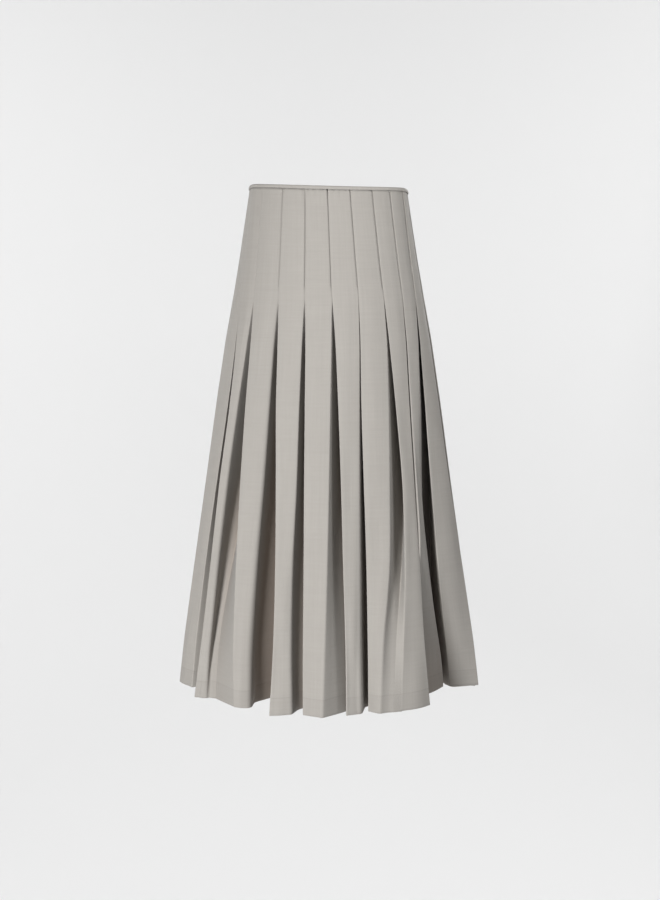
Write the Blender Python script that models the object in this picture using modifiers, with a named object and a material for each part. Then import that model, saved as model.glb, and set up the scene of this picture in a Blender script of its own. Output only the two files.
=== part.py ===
"""Pleated midi skirt in its worn, hollow form, as it hangs from a waist.

Metres, +Z up. The origin is the centre of the waist at its top edge. The front faces -Y and the
wearer's left side is at +X.

The cloth is one wall that runs round the body. At every height its section is a chain of knife pleats:
each pleat has a face, a soft turn at the face's far side, a floor that runs under the next face, a
hidden fold, and a return layer that comes back to the next pleat's knife edge. From the waist to the hip
the pleats are stitched flat, three layers deep. Below the hip they open, each by its own amount.
"""

import math

import bmesh
import bpy
from mathutils import Vector

MM = 0.001

# Driving sizes.
SKIRT_LENGTH = 0.818
STITCHED_LENGTH = 0.162
CLOTH = 1.0 * MM
SEAM_GAP = 0.3 * MM
LAYER_PITCH = 1.65 * MM
HEM_DEPTH = 0.027
HEM_CLOTH = 1.6 * MM

BINDING_HEIGHT = 6.4 * MM
BINDING_THICKNESS = 5.2 * MM
BINDING_EDGE_RADIUS = 1.4 * MM
BINDING_STEPS = 60

# How far each pleat's underlay reaches under the next face where it is stitched flat, how far short of
# the knife edge the underlay's own turn stops there, and how far past the underlay the face is free.
UNDERLAY_AT_WAIST = 14 * MM
UNDERLAY_AT_HIP = 19 * MM
TURN_SHORT = 1.0 * MM
FACE_FREE = 2.5 * MM
# The roundness of a pressed fold: half a layer's pitch where flat, and softer at the hem.
FOLD_RADIUS_FLAT = LAYER_PITCH / 2
FOLD_RADIUS_HEM = 2.2 * MM

# The figure that the skirt is worn on, as ovals: how far below the waist, half the width, and half the
# depth of the front and of the back.
FIGURE = [
    dict(drop=0.000, half_width=0.1260, front=0.0885, back=0.0860),
    dict(drop=0.050, half_width=0.1335, front=0.0980, back=0.1010),
    dict(drop=0.115, half_width=0.1436, front=0.1070, back=0.1170),
    dict(drop=0.165, half_width=0.1525, front=0.1130, back=0.1260),
    dict(drop=0.243, half_width=0.1671, front=0.1240, back=0.1360),
    dict(drop=0.341, half_width=0.1825, front=0.1370, back=0.1480),
    dict(drop=0.473, half_width=0.2016, front=0.1540, back=0.1630),
    dict(drop=0.606, half_width=0.2210, front=0.1710, back=0.1780),
    dict(drop=0.741, half_width=0.2406, front=0.1880, back=0.1930),
    dict(drop=0.818, half_width=0.2500, front=0.1980, back=0.2030),
]

# One row for each pleat, round the body from the wearer's right side by the front. Angles are in degrees
# round the oval, 0 at centre front and 90 at the wearer's left. The first four place the knife edge at
# the waist, the hip, the middle height and the hem. mouth_mid is the angle by which the pleat gapes at
# the middle height. The rest is at the hem, with depths in millimetres inside the oval: the knife edge's
# own depth, then the angle and depth of the turn of the face before it, of the floor and of the hidden fold.
PLEAT_COLUMNS = (
    "waist", "hip", "mid", "hem", "mouth_mid", "edge_in",
    "turn", "turn_in", "floor", "floor_in", "fold", "fold_in",
)
PLEAT_ROWS = [
    (-93.0, -84.0, -86.0, -92.0, 5.0, 2, -99.0, 5, -97.5, 38, -90.5, 42),
    (-75.0, -66.6, -61.5, -65.5, 3.4, 11, -81.0, 22, -79.0, 38, -69.5, 40),
    (-55.4, -49.9, -44.4, -42.8, 10.6, 19, -61.0, 27, -57.0, 32, -53.0, 36),
    (-33.9, -30.6, -24.5, -22.5, 6.3, 10, -38.0, 26, -37.0, 46, -26.5, 48),
    (-16.2, -13.8, -11.0, -9.8, 5.1, 17, -15.5, 22, -14.0, 40, -6.0, 42),
    (-0.4, 2.0, 5.6, 8.5, 7.2, 15, -2.5, 2, 2.5, 12, 6.8, 24),
    (15.7, 18.0, 15.8, 17.2, 2.6, 30, 13.6, 20, 15.0, 44, 20.5, 48),
    (32.9, 34.5, 35.0, 29.5, 8.4, 17, 22.4, 17, 24.8, 22, 27.8, 29),
    (50.1, 49.9, 43.2, 39.5, 0.7, 12, 38.9, 15, 39.9, 20, 41.8, 24),
    (69.4, 65.0, 56.4, 66.0, 7.6, 26, 43.6, 11, 60.0, 50, 72.0, 54),
    (89.0, 82.0, 82.0, 92.0, 6.0, 4, 80.5, 3, 82.0, 38, 91.5, 44),
    (108.8, 101.4, 102.0, 108.5, 6.0, 8, 100.0, 5, 101.5, 36, 108.0, 42),
    (126.8, 120.2, 121.0, 126.0, 7.5, 10, 116.5, 6, 119.5, 28, 123.5, 38),
    (142.9, 138.0, 138.0, 142.0, 4.5, 6, 135.5, 11, 136.5, 42, 144.5, 44),
    (157.7, 154.9, 155.0, 158.0, 6.5, 11, 149.0, 4, 152.0, 24, 155.5, 34),
    (171.3, 171.2, 170.0, 170.5, 4.5, 5, 164.5, 10, 165.5, 40, 173.5, 42),
    (185.5, 187.4, 188.0, 189.5, 3.6, 9, 184.5, 4, 186.0, 28, 189.0, 36),
    (199.5, 203.4, 203.0, 202.5, 4.0, 5, 196.5, 11, 197.8, 44, 205.5, 46),
    (214.1, 220.2, 219.0, 218.0, 6.5, 11, 209.5, 4, 212.5, 27, 216.0, 37),
    (229.9, 237.9, 236.5, 234.0, 4.5, 6, 227.0, 9, 228.5, 40, 236.5, 42),
    (247.5, 256.7, 254.5, 250.5, 6.0, 9, 242.5, 5, 245.0, 30, 248.5, 40),
]
PLEATS = [dict(zip(PLEAT_COLUMNS, row)) for row in PLEAT_ROWS]

FIRST_FRONT_PLEAT = 0
FIRST_BACK_PLEAT = 10
CENTRE_BACK_PLEAT = 15

# The heights of the wall's rings, as drops below the waist.
MID_DROP = 0.461
RING_DROPS = [
    BINDING_HEIGHT + SEAM_GAP, 0.050, 0.115, STITCHED_LENGTH, 0.192, 0.235, 0.295, 0.370,
    MID_DROP, 0.550, 0.640, 0.720, SKIRT_LENGTH - HEM_DEPTH, SKIRT_LENGTH,
]

# The concealed zip at the centre back, its slider, and the pull that hangs from the slider's bail.
ZIP_TOP_DROP = 0.009
ZIP_LENGTH = 0.158
ZIP_TAPE_WIDTH = 22 * MM
ZIP_TAPE_THICKNESS = 0.8 * MM
TAPE_GAP = 0.5 * MM
SLIDER_WIDTH = 4.6 * MM
SLIDER_HEIGHT = 9.0 * MM
SLIDER_THICKNESS = 1.8 * MM
SLIDER_TOP_DROP = 9.0 * MM
BAIL_WIDTH = 1.2 * MM
BAIL_LENGTH = 4.2 * MM
BAIL_BAR = 0.8 * MM
BAIL_CLEARANCE = 0.45 * MM
PULL_THICKNESS = 0.9 * MM
PULL_CLEARANCE = 0.45 * MM
PULL_LENGTH = 19.0 * MM
PULL_TOP_WIDTH = 3.8 * MM
PULL_FOOT_WIDTH = 4.8 * MM
PULL_CORNER = 0.7 * MM
PULL_SLOT_WIDTH = 2.0 * MM
PULL_SLOT_LENGTH = 3.0 * MM

CLOTH_COLOUR = (0.50, 0.475, 0.44, 1.0)
BINDING_COLOUR = (0.47, 0.45, 0.42, 1.0)
METAL_COLOUR = (0.52, 0.50, 0.47, 1.0)


def blended(points, at):
    """The value at a place along a table of (place, value), in straight lines."""
    for (low, first), (high, last) in zip(points, points[1:]):
        if at <= high:
            share = max(0.0, (at - low) / (high - low))
            return first + share * (last - first)
    return points[-1][1]


def through(start, middle, end, share_middle, share):
    """The value of the parabola through three values, the middle one at share_middle."""
    m = share_middle
    return (
        start * (share - m) * (share - 1) / m
        + middle * share * (share - 1) / (m * (m - 1))
        + end * share * (share - m) / (1 - m)
    )


def figure_at(drop):
    """Half the width, and half the depths of the front and the back, at that height."""
    return tuple(
        blended([(row["drop"], row[name]) for row in FIGURE], drop)
        for name in ("half_width", "front", "back")
    )


def on_figure(angle, inset, drop):
    """The point at that angle round the oval, that far inside it."""
    half_width, front, back = figure_at(drop)
    t = math.radians(angle)
    depth = front if math.cos(t) > 0 else back
    outward = Vector((depth * math.sin(t), -half_width * math.cos(t))).normalized()
    return Vector((half_width * math.sin(t), -depth * math.cos(t))) - inset * outward


def degrees_for(length, angle, drop):
    """The angle that takes up a length along the oval there."""
    half_width, front, back = figure_at(drop)
    t = math.radians(angle)
    depth = front if math.cos(t) > 0 else back
    return math.degrees(length / math.hypot(half_width * math.cos(t), depth * math.sin(t)))


# How the depths of a turn, a floor, a fold and a knife edge grow below the stitching, as powers of the
# openness: the layers below part first.
DEEPENING_EASE = (1.0, 0.95, 0.95, 1.25)
FACE_EASE = 0.8
# Where the floor bends, as a share of its width, the lean that tells a flat fold's two sides apart, and
# how round a face is across, as a share of the figure's half width.
FLOOR_SHARE = 0.4
FOLD_LEAN = 0.05
FACE_ROUNDNESS = 0.8


def openness(drop):
    """0 where the pleats are stitched, rising to 1 at the hem."""
    return max(0.0, (drop - STITCHED_LENGTH) / (SKIRT_LENGTH - STITCHED_LENGTH))


MID_OPENNESS = openness(MID_DROP)


def edge_angle(pleat, drop):
    """The angle of a pleat's knife edge at that height."""
    if drop < STITCHED_LENGTH:
        return blended([(0.0, pleat["waist"]), (STITCHED_LENGTH, pleat["hip"])], drop)
    return through(pleat["hip"], pleat["mid"], pleat["hem"], MID_OPENNESS, openness(drop))


def creases(index, drop):
    """The plan points of a pleat: the turn of the face before it, its floor, its hidden fold, its knife
    edge, and where its own face lies free of the layers below it."""
    pleat = PLEATS[index % len(PLEATS)]
    lap = 360.0 * (index // len(PLEATS))
    edge = edge_angle(pleat, drop)
    share = openness(drop)
    reach = blended([(0.0, UNDERLAY_AT_WAIST), (STITCHED_LENGTH, UNDERLAY_AT_HIP)], drop)

    def place(angle, inset):
        return on_figure(angle + lap, inset, drop)

    along_edge = degrees_for(MM, edge, drop)
    mouth = through(0.0, pleat["mouth_mid"], pleat["hem"] - pleat["turn"], MID_OPENNESS, share)
    turn = edge - max(mouth, 0.0) - TURN_SHORT / MM * along_edge
    fold = edge + reach / MM * along_edge
    flat_turn = place(edge - TURN_SHORT / MM * along_edge, 2 * LAYER_PITCH)
    flat = [
        place(turn, 2 * LAYER_PITCH),
        flat_turn.lerp(place(fold, 2 * LAYER_PITCH), FLOOR_SHARE),
        place(fold, 1.5 * LAYER_PITCH),
        place(edge, 0.5 * LAYER_PITCH),
    ]
    opened = [
        place(turn, pleat["turn_in"] * MM),
        place(edge + pleat["floor"] - pleat["hem"], pleat["floor_in"] * MM),
        place(edge + pleat["fold"] - pleat["hem"], pleat["fold_in"] * MM),
        place(edge, pleat["edge_in"] * MM),
    ]
    outward = (place(edge, -MM) - place(edge, 0.0)).normalized()
    along = Vector((-outward.y, outward.x))
    places = []
    for start, end, ease in zip(flat, opened, DEEPENING_EASE):
        change = end - start
        deeper = share**ease * change.dot(outward) * outward
        places.append(start + deeper + share * change.dot(along) * along)
    free = place(edge + degrees_for(reach + FACE_FREE, edge, drop), 0.0)
    return places + [free]


def rounded_fold(before, corner, after, radius, knife_edge):
    """Three points round a pressed fold. A flat fold becomes a hairpin of that radius."""
    to_before = (before - corner).normalized()
    to_after = (after - corner).normalized()
    inward = -corner.normalized()
    lean = FOLD_LEAN if knife_edge else -FOLD_LEAN
    middle = (to_before + to_after + lean * inward).normalized()
    side = Vector((-middle.y, middle.x)) if knife_edge else Vector((middle.y, -middle.x))
    half_angle = 0.5 * to_before.angle(to_after)
    apart = radius * math.cos(half_angle)
    along = radius * math.sin(half_angle)
    return [
        corner + along * to_before + apart * side,
        corner - (radius - 0.6 * along) * middle,
        corner + along * to_after - apart * side,
    ]


def face_middle(index, edge, turn, free, drop):
    """A point of the face between its knife edge and its turn: free of the flat pleats' layers where they
    are stitched, and bowed outwards along the oval below. At centre back it stays in the middle plane."""
    if index == CENTRE_BACK_PLEAT:
        share = edge.x / (edge.x - turn.x)
        free = on_figure(180.0, 0.0, drop)
    else:
        share = 0.5
    width = (turn - edge).length
    half_width, front, back = figure_at(drop)
    bow = 4 * share * (1 - share) * width**2 / (8 * FACE_ROUNDNESS * half_width)
    opened = edge.lerp(turn, share) + bow * (edge + turn).normalized()
    if index == CENTRE_BACK_PLEAT:
        opened.x = 0.0
    return free.lerp(opened, openness(drop) ** FACE_EASE)


def section(drop):
    """The plan points of the whole cloth at that height: nine for each pleat, from its knife edge on."""
    count = len(PLEATS)
    plan = [creases(index, drop) for index in range(count + 2)]
    radius = FOLD_RADIUS_FLAT + (FOLD_RADIUS_HEM - FOLD_RADIUS_FLAT) * openness(drop)
    points = []
    for index in range(1, count + 1):
        _, _, fold_before, edge, free = plan[index]
        turn, floor, fold, next_edge, _ = plan[index + 1]
        middle = face_middle(index, edge, turn, free, drop)
        points += rounded_fold(fold_before, edge, middle, radius, True)
        points += [middle, turn, floor]
        points += rounded_fold(floor, fold, next_edge, radius, False)
    return points[-POINTS_PER_PLEAT:] + points[:-POINTS_PER_PLEAT]


POINTS_PER_PLEAT = 9
FACE_MIDDLE = 3
RETURN_START = 8


def panel_columns(first, first_share, last, last_share):
    """The columns of a panel cut at two places of the section. A place is a point index of the whole
    section and a share of the way to the next point; the cut leaves half a seam's gap there."""
    columns = [("cut", first, first_share, 1)]
    columns += [("point", k, 0.0, 0) for k in range(first + 1, last + 1)]
    if last_share > 0:
        columns.append(("cut", last, last_share, -1))
    else:
        columns[-1] = ("cut", last - 1, 1.0, -1)
    return columns


def column_point(points, column):
    """The plan point of a column in one ring."""
    kind, k, share, side = column
    here = points[k % len(points)]
    if kind == "point":
        return here
    ahead = points[(k + 1) % len(points)]
    along = (ahead - here).normalized()
    return here + share * (ahead - here) + side * (SEAM_GAP / 2) * along


def hem_lift(angle):
    """How far the hem rises above its lowest height, slightly uneven round the skirt."""
    return (1.5 + 1.5 * math.sin(3 * angle + 0.8) * math.cos(2 * angle)) * MM


def new_object(name, mesh, colour, roughness, metallic=0.0):
    """An object of a mesh, in the skirt's collection, with its own material."""
    thing = bpy.data.objects.new(name, mesh)
    material = bpy.data.materials.new(name)
    material.use_nodes = True
    shader = material.node_tree.nodes["Principled BSDF"]
    shader.inputs["Base Color"].default_value = colour
    shader.inputs["Roughness"].default_value = roughness
    shader.inputs["Metallic"].default_value = metallic
    mesh.materials.clear()
    mesh.materials.append(material)
    collection.objects.link(thing)
    return thing


def grid_mesh(name, rows, leans=None):
    """A mesh of a grid of points, joined by triangles that face outwards. Where a column's lean is True
    its quads are split along their other diagonal."""
    bm = bmesh.new()
    grid = [[bm.verts.new(point) for point in row] for row in rows]
    for upper, lower in zip(grid, grid[1:]):
        for k in range(len(upper) - 1):
            if leans and leans[k]:
                bm.faces.new((lower[k], lower[k + 1], upper[k]))
                bm.faces.new((lower[k + 1], upper[k + 1], upper[k]))
            else:
                bm.faces.new((lower[k], lower[k + 1], upper[k + 1]))
                bm.faces.new((lower[k], upper[k + 1], upper[k]))
    mesh = bpy.data.meshes.new(name)
    bm.to_mesh(mesh)
    bm.free()
    return mesh


def cloth_panel(name, columns):
    """A panel of the cloth wall: an open surface through the rings, given its thickness by Solidify.
    Return layers run backwards, so they are split the other way for all layers to crease alike."""
    rows = []
    for drop in RING_DROPS:
        points = section(drop)
        row = []
        for column in columns:
            place = column_point(points, column)
            height = -drop
            if drop == SKIRT_LENGTH:
                height += hem_lift(math.atan2(place.x, -place.y))
            row.append(Vector((place.x, place.y, height)))
        rows.append(row)
    leans = [column[1] % POINTS_PER_PLEAT >= RETURN_START for column in columns]
    panel = new_object(name, grid_mesh(name, rows, leans), CLOTH_COLOUR, 0.85)
    hem_rows = 2
    doubled = panel.vertex_groups.new(name="turned_up_hem")
    first_hem_point = (len(rows) - hem_rows) * len(columns)
    doubled.add(list(range(first_hem_point, len(rows) * len(columns))), 1.0, "REPLACE")
    wall = panel.modifiers.new("wall", "SOLIDIFY")
    wall.thickness = HEM_CLOTH
    wall.offset = 0.0
    wall.use_even_offset = True
    wall.vertex_group = doubled.name
    wall.thickness_vertex_group = CLOTH / HEM_CLOTH
    return panel


def waist_binding():
    """The narrow binding round the waist: an upright strip, thickened and with rounded edges."""
    centre_inset = LAYER_PITCH
    half_cut = SEAM_GAP
    start = 180.0 + degrees_for(half_cut, 180.0, 0.0)
    end = 540.0 - degrees_for(half_cut, 180.0, 0.0)
    angles = [start + (end - start) * k / BINDING_STEPS for k in range(BINDING_STEPS + 1)]
    rows = [
        [Vector((*on_figure(angle, centre_inset, BINDING_HEIGHT), height)) for angle in angles]
        for height in (0.0, -BINDING_HEIGHT)
    ]
    binding = new_object("waist_binding", grid_mesh("waist_binding", rows), BINDING_COLOUR, 0.8)
    wall = binding.modifiers.new("wall", "SOLIDIFY")
    wall.thickness = BINDING_THICKNESS
    wall.offset = 0.0
    wall.use_even_offset = True
    edges = binding.modifiers.new("rounded_edges", "BEVEL")
    edges.width = BINDING_EDGE_RADIUS
    edges.segments = 1
    edges.limit_method = "ANGLE"
    edges.angle_limit = math.radians(50)
    return binding


def back_place(drop, outward):
    """A point at centre back, that far outside the middle of the cloth there."""
    middle = section(drop)[CENTRE_BACK_PLEAT * POINTS_PER_PLEAT + FACE_MIDDLE]
    return Vector((middle.x, middle.y + outward, -drop))


def zip_tape():
    """The zip's two tapes and its coil, closed, as one strip inside the centre back seam."""
    drops = [ZIP_TOP_DROP] + [drop for drop in RING_DROPS[1:] if drop < ZIP_LENGTH] + [ZIP_LENGTH]
    stack = 2 * LAYER_PITCH + CLOTH / 2 + TAPE_GAP + ZIP_TAPE_THICKNESS / 2
    rows = []
    for drop in drops:
        row = []
        for share in (-0.5, -0.25, 0.0, 0.25, 0.5):
            angle = 180.0 + degrees_for(share * ZIP_TAPE_WIDTH, 180.0, drop)
            row.append(Vector((*on_figure(angle, stack, drop), -drop)))
        rows.append(row)
    tape = new_object("zip_tape", grid_mesh("zip_tape", rows), CLOTH_COLOUR, 0.7)
    wall = tape.modifiers.new("wall", "SOLIDIFY")
    wall.thickness = ZIP_TAPE_THICKNESS
    wall.offset = 0.0
    wall.use_even_offset = True
    return tape


def box_mesh(name, low, high):
    """A box between two corners, as a mesh."""
    bm = bmesh.new()
    bmesh.ops.create_cube(bm, size=1.0)
    for vertex in bm.verts:
        vertex.co = Vector([low[k] + (vertex.co[k] + 0.5) * (high[k] - low[k]) for k in range(3)])
    mesh = bpy.data.meshes.new(name)
    bm.to_mesh(mesh)
    bm.free()
    return mesh


def back_slope():
    """How much the cloth leans outwards, going down, where the slider and the pull lie on it."""
    upper = back_place(SLIDER_TOP_DROP, 0.0)
    lower = back_place(SLIDER_TOP_DROP + SLIDER_HEIGHT, 0.0)
    return math.atan2(lower.y - upper.y, upper.z - lower.z)


def on_zip(thing):
    """Puts an object on the slider's pin: its own x is the pin's axis, -y points out of the cloth and z
    up along the cloth, as it is turned half round to face the back."""
    slope = back_slope()
    seat = back_place(SLIDER_TOP_DROP + SLIDER_HEIGHT / 2, 0.0)
    out_of_cloth = Vector((0.0, math.cos(slope), math.sin(slope)))
    standing = CLOTH / 2 + SEAM_GAP + SLIDER_THICKNESS + PULL_CLEARANCE + PULL_THICKNESS / 2
    thing.location = seat + standing * out_of_cloth
    thing.rotation_euler = (-slope, 0.0, math.pi)
    return thing


def zip_slider():
    """The slider: a plate on the seam, with a bail over it that the pull hangs from."""
    plate_face = PULL_THICKNESS / 2 + PULL_CLEARANCE
    half_bail = BAIL_LENGTH / 2
    bridge = -(PULL_THICKNESS / 2 + BAIL_CLEARANCE)
    plate = box_mesh(
        "zip_slider",
        Vector((-SLIDER_WIDTH / 2, plate_face, -SLIDER_HEIGHT / 2)),
        Vector((SLIDER_WIDTH / 2, plate_face + SLIDER_THICKNESS, SLIDER_HEIGHT / 2)),
    )
    slider = on_zip(new_object("zip_slider", plate, METAL_COLOUR, 0.35, 1.0))
    blocks = []
    for low_z, high_z in ((-half_bail, -half_bail + BAIL_BAR), (half_bail - BAIL_BAR, half_bail)):
        low = Vector((-BAIL_WIDTH / 2, bridge - BAIL_BAR, low_z))
        high = Vector((BAIL_WIDTH / 2, plate_face + SLIDER_THICKNESS / 2, high_z))
        blocks.append(box_mesh("bail_post", low, high))
    low = Vector((-BAIL_WIDTH / 2, bridge - BAIL_BAR, -half_bail))
    high = Vector((BAIL_WIDTH / 2, bridge, half_bail))
    blocks.append(box_mesh("bail_bridge", low, high))
    for mesh in blocks:
        block = on_zip(bpy.data.objects.new("slider_" + mesh.name, mesh))
        cutters.objects.link(block)
        block.hide_render = True
        block.display_type = "WIRE"
        union = slider.modifiers.new("join", "BOOLEAN")
        union.operation = "UNION"
        union.solver = "EXACT"
        union.object = block
    return slider


def zip_pull():
    """The pull: a flat tab with a slot round the bail. Its top bar, under the bail, is what it swings on."""
    half = PULL_THICKNESS / 2
    top_half = PULL_TOP_WIDTH / 2
    foot_half = PULL_FOOT_WIDTH / 2
    foot = half - PULL_LENGTH
    chamfer = PULL_CORNER
    border = [
        (-top_half + chamfer, half), (top_half - chamfer, half), (top_half, half - chamfer),
        (foot_half, foot + chamfer), (foot_half - chamfer, foot), (-foot_half + chamfer, foot),
        (-foot_half, foot + chamfer), (-top_half, half - chamfer),
    ]
    slot_half = PULL_SLOT_WIDTH / 2
    slot_foot = -half - PULL_SLOT_LENGTH
    slot = [(-slot_half, -half), (slot_half, -half), (slot_half, slot_foot), (-slot_half, slot_foot)]
    bm = bmesh.new()
    loops = []
    for depth in (-half, half):
        for ring in (border, slot):
            loops.append([bm.verts.new((x, depth, z)) for x, z in ring])
    for near, far in ((loops[0], loops[2]), (loops[1], loops[3])):
        for k in range(len(near)):
            ahead = (k + 1) % len(near)
            bm.faces.new((near[k], near[ahead], far[ahead], far[k]))
    for ring, hole in ((loops[0], loops[1]), (loops[2], loops[3])):
        edges = []
        for loop in (ring, hole):
            edges += [bm.edges.get((loop[k], loop[(k + 1) % len(loop)])) for k in range(len(loop))]
        bmesh.ops.triangle_fill(bm, use_beauty=True, edges=edges)
    bmesh.ops.recalc_face_normals(bm, faces=bm.faces)
    mesh = bpy.data.meshes.new("zip_pull")
    bm.to_mesh(mesh)
    bm.free()
    return on_zip(new_object("zip_pull", mesh, METAL_COLOUR, 0.35, 1.0))


for old in list(bpy.data.objects):
    bpy.data.objects.remove(old)
collection = bpy.data.collections.new("pleated_skirt")
cutters = bpy.data.collections.new("cutters")
bpy.context.scene.collection.children.link(collection)
bpy.context.scene.collection.children.link(cutters)

# Section points where the panels are cut: the side seams lie hidden half way along a return layer, and
# the centre back seam runs down the middle of a face.
FRONT_START = (FIRST_FRONT_PLEAT - 1) * POINTS_PER_PLEAT + RETURN_START
FRONT_END = (FIRST_BACK_PLEAT - 1) * POINTS_PER_PLEAT + RETURN_START
CENTRE_BACK = CENTRE_BACK_PLEAT * POINTS_PER_PLEAT + FACE_MIDDLE
LAP = len(PLEATS) * POINTS_PER_PLEAT

cloth_panel("front_panel", panel_columns(FRONT_START, 0.5, FRONT_END, 0.5))
cloth_panel("back_left_panel", panel_columns(FRONT_END, 0.5, CENTRE_BACK, 0.0))
cloth_panel("back_right_panel", panel_columns(CENTRE_BACK, 0.0, FRONT_START + LAP, 0.5))
waist_binding()
zip_tape()
zip_slider()
zip_pull()
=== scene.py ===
"""Dresses the pleated midi skirt: its cloth, waist binding, zip, stage and camera."""

import math

import bmesh
import bpy
import numpy as np
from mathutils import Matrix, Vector


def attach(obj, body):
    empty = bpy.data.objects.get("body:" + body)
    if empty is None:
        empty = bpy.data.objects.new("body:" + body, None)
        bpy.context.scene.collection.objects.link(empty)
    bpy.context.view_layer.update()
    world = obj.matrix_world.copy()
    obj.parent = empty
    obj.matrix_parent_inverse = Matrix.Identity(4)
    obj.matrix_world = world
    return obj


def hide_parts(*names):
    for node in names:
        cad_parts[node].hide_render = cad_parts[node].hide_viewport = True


bl_info = {
    "name": "Pleated skirt dresser",
    "version": (1, 0, 0),
    "blender": (4, 5, 0),
    "location": "3D View > Sidebar > Skirt",
    "description": "Builds the cloth, binding, zip and stage of a pleated midi skirt round its packed frame",
    "category": "Object",
}

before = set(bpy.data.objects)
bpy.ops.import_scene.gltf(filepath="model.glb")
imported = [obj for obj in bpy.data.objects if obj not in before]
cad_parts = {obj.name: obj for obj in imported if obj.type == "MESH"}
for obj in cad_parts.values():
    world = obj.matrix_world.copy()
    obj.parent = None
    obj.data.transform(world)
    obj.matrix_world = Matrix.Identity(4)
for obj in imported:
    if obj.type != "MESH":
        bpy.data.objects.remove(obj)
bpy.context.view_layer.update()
MM = 0.001

# The skirt's own sizes. The binding is drawn a little lower than its solid.
SKIRT_LENGTH = 0.818
STITCHED_LENGTH = 0.162
HEM_DEPTH = 0.027
BINDING_HEIGHT = 0.0050
SEAM_GAP = 0.0003
SEAM_LAP_INSET = 0.0011
ZIP_END_DROP = 0.172

# Where a pleat is stitched flat: how far its hidden layer reaches under the next face at the waist and at the
# hip, how far short of the knife edge its turn stops, how far past the hidden layer the face lies free, and
# how many layers deep the knife edge, the hidden fold and the turn lie.
UNDERLAY_AT_WAIST = 14 * MM
UNDERLAY_AT_HIP = 19 * MM
TURN_SHORT = 0.6 * MM
FACE_FREE = 2.5 * MM
EDGE_LAYERS, FOLD_LAYERS, TURN_LAYERS = 0.5, 1.5, 2
# Below it, in shares of the way to the hem: where the fold has swung in, and where it goes on from there.
SWUNG_BY = 0.55
SPREADS_FROM = 0.25

# The figure that the skirt is worn on: drop below the waist, half width, half depth of front and back.
FIGURE = np.array([
    (0.000, 0.1260, 0.0885, 0.0860),
    (0.050, 0.1335, 0.0980, 0.1010),
    (0.115, 0.1436, 0.1070, 0.1170),
    (0.165, 0.1525, 0.1130, 0.1260),
    (0.243, 0.1671, 0.1240, 0.1360),
    (0.341, 0.1825, 0.1370, 0.1480),
    (0.473, 0.2016, 0.1540, 0.1630),
    (0.606, 0.2210, 0.1710, 0.1780),
    (0.741, 0.2406, 0.1880, 0.1930),
    (0.818, 0.2500, 0.1980, 0.2030),
])

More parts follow.
